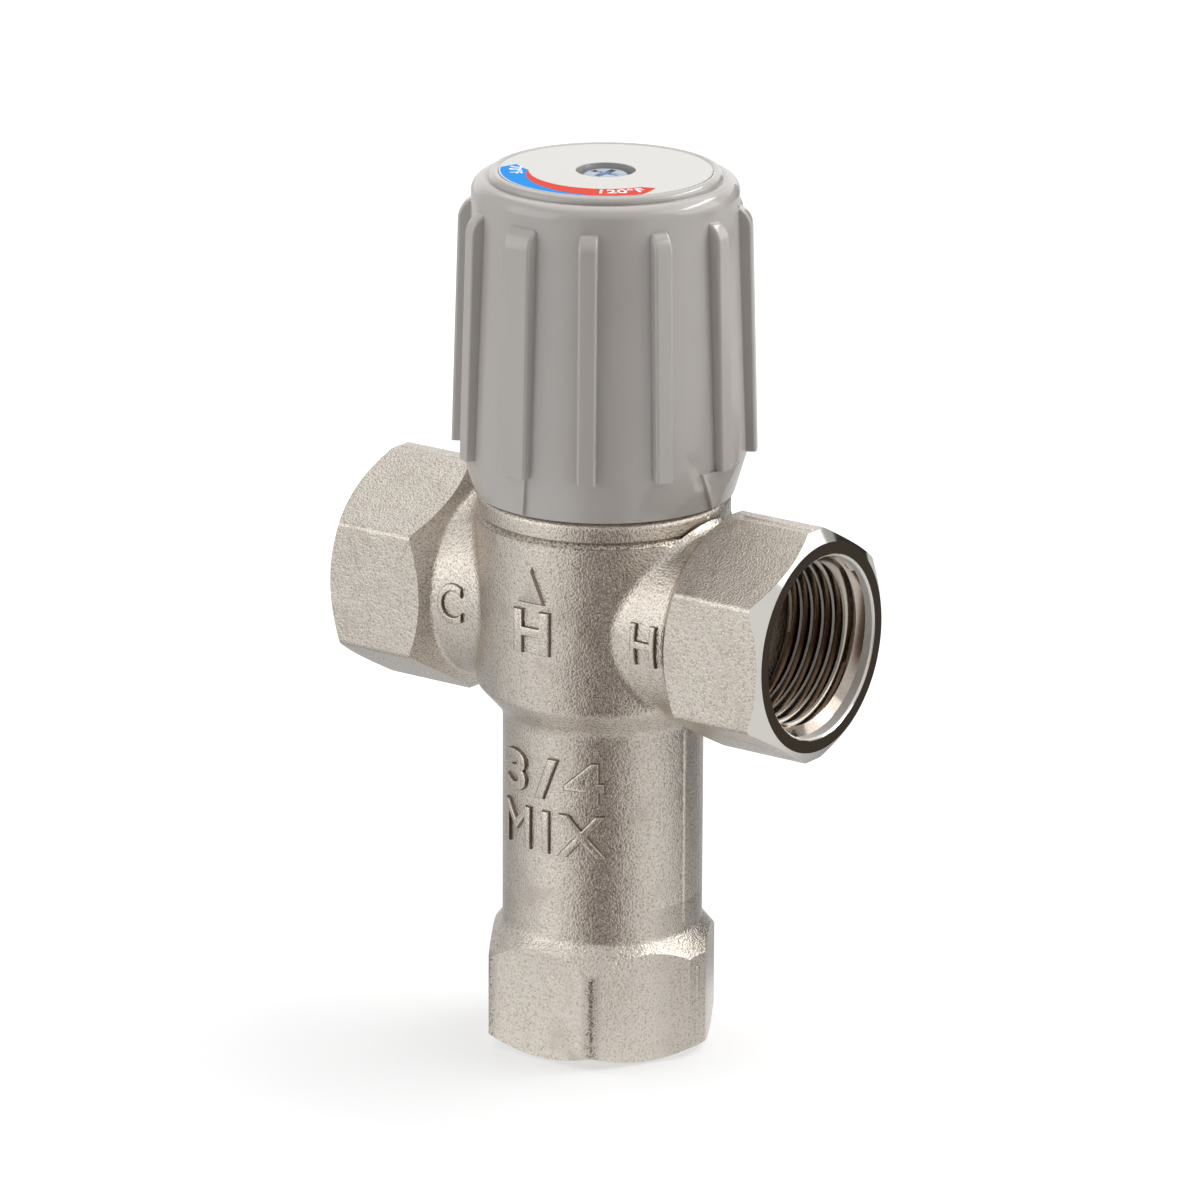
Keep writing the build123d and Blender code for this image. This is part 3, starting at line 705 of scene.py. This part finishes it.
def arrow_head(width, height, relief):
    """A raised triangle with sloping sides, its point towards +Y."""
    shape = bmesh.new()
    bmesh.ops.create_cone(
        shape, cap_ends=True, cap_tris=False, segments=3, radius1=1.0, radius2=0.72, depth=2 * relief
    )
    low = min(corner.co.y for corner in shape.verts)
    high = max(corner.co.y for corner in shape.verts)
    side = max(corner.co.x for corner in shape.verts)
    bmesh.ops.translate(shape, verts=shape.verts[:], vec=(0, -(low + high) / 2, 0))
    bmesh.ops.scale(shape, verts=shape.verts[:], vec=(width / 2 / side, height / (high - low), 1))
    return shape


arrow = arrow_head(width=5.4 * mm, height=6.4 * mm, relief=letter_relief)
hot_letter = flat_letters("H", width=6.3 * mm, height=6.6 * mm, relief=letter_relief)
size_mark = flat_letters("3/4", width=17.4 * mm, height=6.4 * mm, relief=letter_relief, spacing=1.3)
mix_mark = flat_letters(
    "MIX", width=18.4 * mm, height=6.5 * mm, relief=letter_relief, boldness=0.022, flank=0.03, spacing=1.22
)
mark_on_stem(arrow, "barrel_arrow", barrel_radius, angle=-88.5, height=73.1 * mm)
mark_on_stem(hot_letter, "barrel_hot_letter", barrel_radius, angle=-88.6, height=66.0 * mm)
mark_on_stem(size_mark, "stem_size_mark", stem_radius, angle=-87.6, height=42.9 * mm)
mark_on_stem(mix_mark, "stem_mix_mark", stem_radius, angle=-88.0, height=34.8 * mm)


# %% Raise the letters on the two necks
neck_mark_reach = 17.0 * mm
neck_mark_width = 4.4 * mm
neck_mark_height = 6.2 * mm


def mark_on_neck(words, name, side):
    """Bends a letter round a port's neck. It stands upright on the front of the neck."""
    shape = flat_letters(words, neck_mark_width, neck_mark_height, letter_relief, boldness=0.03)
    mark_flanks(shape)
    quarter = Matrix.Rotation(radians(90), 4, "Z")
    bmesh.ops.transform(shape, matrix=quarter, verts=shape.verts[:])
    cut_strips(shape)
    bend_round(shape, neck_radius)
    lying = Matrix.Rotation(radians(90), 4, "Y")
    place = Matrix.Translation((side * neck_mark_reach, 0, port_height)) @ lying
    bmesh.ops.transform(shape, matrix=place, verts=shape.verts[:])
    make_mark(shape, name)


mark_on_neck("H", "hot_neck_letter", 1)
mark_on_neck("C", "cold_neck_letter", -1)

# %% [markdown]
# ## The flash of the forging
# The two halves of the die met on the plane through the three port axes. A thin line of flash is left where
# they met: down both sides of the stem, over the foot hex and the collar, and along the tops of the side
# hexes. Each line is a round rod with bevelled ends, sunk until only a shallow bead shows.

# %% Lay the flash lines
flash_radius = 0.9 * mm
flash_proud = 0.14 * mm


def flash_line(name, length, place):
    """A thin rod along Z, sunk until only a shallow bead stands over x = 0, and then put in its place."""
    rod = bmesh.new()
    bmesh.ops.create_cone(
        rod,
        cap_ends=True,
        cap_tris=False,
        segments=40,
        radius1=flash_radius,
        radius2=flash_radius,
        depth=length,
    )
    caps = [edge for edge in rod.edges if abs(edge.verts[0].co.z - edge.verts[1].co.z) < 0.1 * length]
    bmesh.ops.bevel(
        rod, geom=caps, offset=0.3 * flash_radius, segments=3, affect="EDGES", profile=0.5, material=-1
    )
    bmesh.ops.translate(rod, verts=rod.verts[:], vec=(flash_proud - flash_radius, 0, 0))
    bmesh.ops.transform(rod, matrix=place, verts=rod.verts[:])
    make_piece(rod, name, forging_nickel, "housing")


flash_runs = {
    "stem": (stem_radius, 19.5 * mm, 49.3 * mm),
    "mix_hex": (hex_trim_radius, 1.6 * mm, 13.6 * mm),
    "collar": (collar_radius, 80.2 * mm, 82.0 * mm),
}
hex_flash_reach = 30.4 * mm
hex_flash_length = 12.0 * mm
lying_down = Matrix.Rotation(radians(-90), 4, "Y")
for side, half in ((1, "hot"), (-1, "cold")):
    facing = Matrix.Rotation(0 if side > 0 else pi, 4, "Z")
    for run, (radius, low, high) in flash_runs.items():
        place = facing @ Matrix.Translation((radius, 0, (low + high) / 2))
        flash_line(run + "_" + half + "_flash", high - low, place)
    hex_top = Matrix.Translation((side * hex_flash_reach, 0, port_height + hex_trim_radius))
    flash_line(half + "_hex_flash", hex_flash_length, hex_top @ lying_down)

# %% [markdown]
# ## The print on the label
# The label shows which way to turn: a blue field that widens to the left for cooler water, and a red one
# that widens to the right for hotter water, with plain numbers at their ends. A field is a grid of squares
# bent into an arc, whose inner and outer radius change along it.

# %% Lay a printed field
ink_thickness = 0.02 * mm
print_margin = 0.25 * mm
print_edge = label_radius - print_margin


def interpolate(share, stops):
    """The value at a share of the way along a list of (share, value) stops."""
    for (low, first), (high, second) in zip(stops, stops[1:]):
        if share <= high:
            return first + (second - first) * (share - low) / (high - low)
    return stops[-1][1]


def printed_field(name, first_angle, last_angle, inner_stops, outer_stops, material):
    """A thin field of ink between two radii that change along an arc."""
    shape = bmesh.new()
    columns = 120
    bmesh.ops.create_grid(shape, x_segments=columns, y_segments=1, size=0.5)
    for corner in shape.verts:
        share = corner.co.x + 0.5
        angle = radians(first_angle + (last_angle - first_angle) * share)
        inner = interpolate(share, inner_stops)
        outer = interpolate(share, outer_stops)
        radius = inner + (outer - inner) * (corner.co.y + 0.5)
        corner.co = (radius * cos(angle), radius * sin(angle), label_face)
    bmesh.ops.remove_doubles(shape, verts=shape.verts[:], dist=0.001 * mm)
    raised = bmesh.ops.extrude_face_region(shape, geom=shape.faces[:])["geom"]
    moved = [item for item in raised if isinstance(item, bmesh.types.BMVert)]
    bmesh.ops.translate(shape, verts=moved, vec=(0, 0, ink_thickness))
    bmesh.ops.recalc_face_normals(shape, faces=shape.faces[:])
    make_piece(shape, name, material, "knob_set")


crescent_inner = 11.0 * mm
arrow_middle = 13.0 * mm
printed_field(
    "cooler_field",
    first_angle=-158,
    last_angle=-61,
    inner_stops=[(0, arrow_middle), (0.15, crescent_inner), (1, print_edge - 0.02 * mm)],
    outer_stops=[(0, arrow_middle + 0.01 * mm), (0.085, print_edge), (1, print_edge)],
    material=cold_ink,
)
printed_field(
    "hotter_field",
    first_angle=-143,
    last_angle=-20.5,
    inner_stops=[(0, crescent_inner - 0.01 * mm), (0.94, crescent_inner + 0.1 * mm), (1, 12.5 * mm)],
    outer_stops=[(0, crescent_inner), (0.665, print_edge), (0.885, print_edge), (1, 12.52 * mm)],
    material=hot_ink,
)


# %% Print the numbers
def printed_number(words, name, angle, radius, width, height):
    """Numbers that follow the label's edge, upright for a reader in front of them."""
    shape = flat_letters(words, width, height, ink_thickness, boldness=0.013, flank=0.001)
    for corner in shape.verts:
        turn = radians(angle) + corner.co.x / radius
        distance = radius - corner.co.y
        corner.co = (
            distance * cos(turn),
            distance * sin(turn),
            label_face + 2 * ink_thickness + corner.co.z,
        )
    make_piece(shape, name, white_ink, "knob_set")


printed_number("120°F", "hot_number", angle=-44, radius=12.7 * mm, width=6.4 * mm, height=2.2 * mm)
printed_number("70°F", "cold_number", angle=-143, radius=12.8 * mm, width=4.4 * mm, height=1.9 * mm)

# %% [markdown]
# ## The studio
# The valve stands on white, in soft light from both sides and from above, with a dark room behind the
# camera. Metal shows whatever surrounds it, so the room matters more than the lamps. What a reflection
# finds on the floor and at the walls depends on the side of the valve that it looks to, and both take it
# from one function. The dark side gives the forging its darker middle, and two dark cards, seen only in
# reflections, darken the turned port face.

# %% Floor and background
view_azimuth = 35.374
view_elevation = 17.299
view_roll = 0.26
view_distance = 1117.6 * mm
view_target = Vector((-0.436, -0.310, 66.06)) * mm
view_lens = 232.02

azimuth = radians(view_azimuth)
elevation = radians(view_elevation)
to_camera = Vector((sin(azimuth) * cos(elevation), -cos(azimuth) * cos(elevation), sin(elevation)))


def towards_camera(direction):
    """1 at the camera's side of the valve, 0.5 at its left and right, and 0 behind it."""
    x, y, z = split(direction)
    return (x * sin(azimuth) - y * cos(azimuth)) / x.length_with(y) * 0.5 + 0.5


def round_the_valve(direction, behind):
    """What reflections find at each side: dark at the camera, and brightest a sixth of a turn from it."""
    return towards_camera(direction).ramp(
        (0.0, grey(behind)),
        (0.06, grey(behind)),
        (0.165, grey(0.38)),
        (0.25, grey(0.46)),
        (0.50, grey(0.64)),
        (0.75, grey(0.84)),
        (0.855, grey(0.84)),
        (0.91, grey(0.80)),
        (0.955, (0.58, 0.54, 0.52, 1.0)),
        (0.985, (0.22, 0.175, 0.155, 1.0)),
        (1.0, (0.08, 0.060, 0.048, 1.0)),
    )


def stage_sheet(name, width, length, material):
    """A flat rectangle that belongs to the studio and not to the valve."""
    shape = bmesh.new()
    bmesh.ops.create_grid(shape, x_segments=1, y_segments=1, size=0.5)
    bmesh.ops.scale(shape, verts=shape.verts[:], vec=(width, length, 1))
    mesh = bpy.data.meshes.new(name)
    shape.to_mesh(mesh)
    shape.free()
    mesh.materials.append(material)
    sheet = bpy.data.objects.new(name, mesh)
    scene.collection.objects.link(sheet)
    return sheet


floor_size = 12.0
shadow_reach = 0.34


def make_floor():
    """A wide white floor that keeps the valve's soft shadow, and is pure white further out."""
    material, place = start_finish("white floor")
    path = Value(place.tree, place.tree.nodes.new("ShaderNodeLightPath").outputs["Is Camera Ray"])
    glossy = Value(place.tree, path.socket.node.outputs["Is Glossy Ray"])
    clear = Value(place.tree, path.socket.node.outputs["Is Transmission Ray"])
    x, y, z = split(place)
    distance = x.length_with(y) / shadow_reach
    far = distance.ramp((0.14, grey(0.38)), (0.50, grey(1.0)))
    beside = distance.ramp((0.08, grey(1.0)), (0.115, grey(0.0)))
    level = beside.blend(round_the_valve(place, 0.60), grey(0.88))
    matt = path.node("BsdfDiffuse", {}, {"Color": grey(0.78)})
    mirrored = path.node("Emission", {}, {"Color": level, "Strength": 1.0})
    white = path.node("Emission", {}, {"Color": grey(1.0), "Strength": 1.25})
    mixed = path.node("MixShader", {}, {0: path.either(clear) * far, 1: matt, 2: white})
    chosen = path.node("MixShader", {}, {0: glossy, 1: mixed, 2: mirrored})
    output = place.tree.nodes.new("ShaderNodeOutputMaterial")
    place.tree.links.new(chosen.socket, output.inputs["Surface"])
    stage_sheet("studio_floor", floor_size, floor_size, material)


def make_room():
    """White for the camera. Reflections find the gradient above, and light comes mostly from the sides."""
    world = bpy.data.worlds.new("studio room")
    world.use_nodes = True
    tree = world.node_tree
    tree.nodes.clear()
    direction = Value(tree, tree.nodes.new("ShaderNodeTexCoord").outputs["Generated"])
    seen = Value(tree, tree.nodes.new("ShaderNodeLightPath").outputs["Is Camera Ray"])
    glossy = Value(tree, seen.socket.node.outputs["Is Glossy Ray"])
    height = split(direction)[2].ramp((0.25, grey(0.0)), (0.75, grey(1.0)))
    facing = towards_camera(direction)
    overhead = facing.ramp((0.10, grey(0.38)), (0.50, grey(0.64)), (1.0, grey(0.74)))
    mirrored = height.blend(round_the_valve(direction, 1.0), overhead)
    soft_sides = facing.ramp(
        (0.0, grey(0.70)), (0.45, grey(1.60)), (0.60, grey(1.40)), (1.0, grey(0.12))
    )
    level = glossy.blend(soft_sides, mirrored)
    colour = seen.blend(level, grey(1.0))
    light = direction.node("Background", {}, {"Color": colour, "Strength": 1.0})
    output = tree.nodes.new("ShaderNodeOutputWorld")
    tree.links.new(light.socket, output.inputs["Surface"])
    scene.world = world


make_floor()
make_room()
scene.view_settings.view_transform = "Standard"
print("floor and room made")


# %% Lamps and cards
def aim(thing, place, target):
    """Puts a lamp, card or camera at a place, looking at a target."""
    thing.location = place
    thing.rotation_mode = "QUATERNION"
    thing.rotation_quaternion = (Vector(target) - Vector(place)).to_track_quat("-Z", "Y")


def soft_lamp(name, turn, height_angle, distance, width, length, power):
    """A soft box. Its turn is measured round the valve from the camera, to the right."""
    lamp = bpy.data.lights.new(name, "AREA")
    lamp.shape = "RECTANGLE"
    lamp.size = width
    lamp.size_y = length
    lamp.energy = power
    stand = bpy.data.objects.new(name, lamp)
    scene.collection.objects.link(stand)
    around = azimuth + radians(turn)
    rise = radians(height_angle)
    offset = Vector((sin(around) * cos(rise), -cos(around) * cos(rise), sin(rise))) * distance
    aim(stand, view_target + offset, view_target)


card_width = 0.36
card_length = 0.30
cloth_colour = (0.040, 0.033, 0.027, 1.0)


def dark_card(name, place, facing):
    """A card with dark cloth that only reflections show. It faces the given direction."""
    material, spot = start_finish(name + " cloth")
    close_finish(spot, base_color=cloth_colour, roughness=0.9, specular_ior_level=0.0)
    card = stage_sheet(name, card_width, card_length, material)
    aim(card, place, place - facing)
    card.visible_camera = False
    card.visible_diffuse = False
    card.visible_shadow = False
    card.visible_transmission = False


soft_lamp("left_box", turn=-68, height_angle=22, distance=1.00, width=0.90, length=0.80, power=1.8)
soft_lamp("right_box", turn=90, height_angle=34, distance=1.00, width=0.90, length=1.00, power=3.3)
soft_lamp("right_strip", turn=108, height_angle=43, distance=0.90, width=0.70, length=0.12, power=1.5)
soft_lamp("top_box", turn=175, height_angle=66, distance=0.80, width=0.80, length=0.80, power=1.8)
dark_card("floor_card", place=Vector((0.22, 0.225, 0.002)), facing=Vector((0, 0, 1)))
dark_card("back_card", place=Vector((0.06, 0.52, 0.08)), facing=Vector((0, -1, 0)))
print("lamps and cards placed")

# %% [markdown]
# ## The camera
# The photo was taken with a long lens from the right front and a little above. The camera stands where the
# outlines of the ports, the stem and the knob fall on the same places in the picture.

# %% Place the camera
lens = bpy.data.cameras.new("photo camera")
lens.lens = view_lens
lens.sensor_width = 36.0
lens.clip_start = 0.05
lens.clip_end = 50.0
camera = bpy.data.objects.new("photo camera", lens)
scene.collection.objects.link(camera)
side = Vector((0, 0, 1)).cross(to_camera).normalized()
upward = to_camera.cross(side)
roll = radians(view_roll)
right = side * cos(roll) + upward * sin(roll)
top = upward * cos(roll) - side * sin(roll)
camera.matrix_world = Matrix.Translation(view_target + to_camera * view_distance) @ Matrix(
    (right, top, to_camera)
).transposed().to_4x4()
scene.camera = camera
print("camera at", [round(part, 3) for part in camera.location])
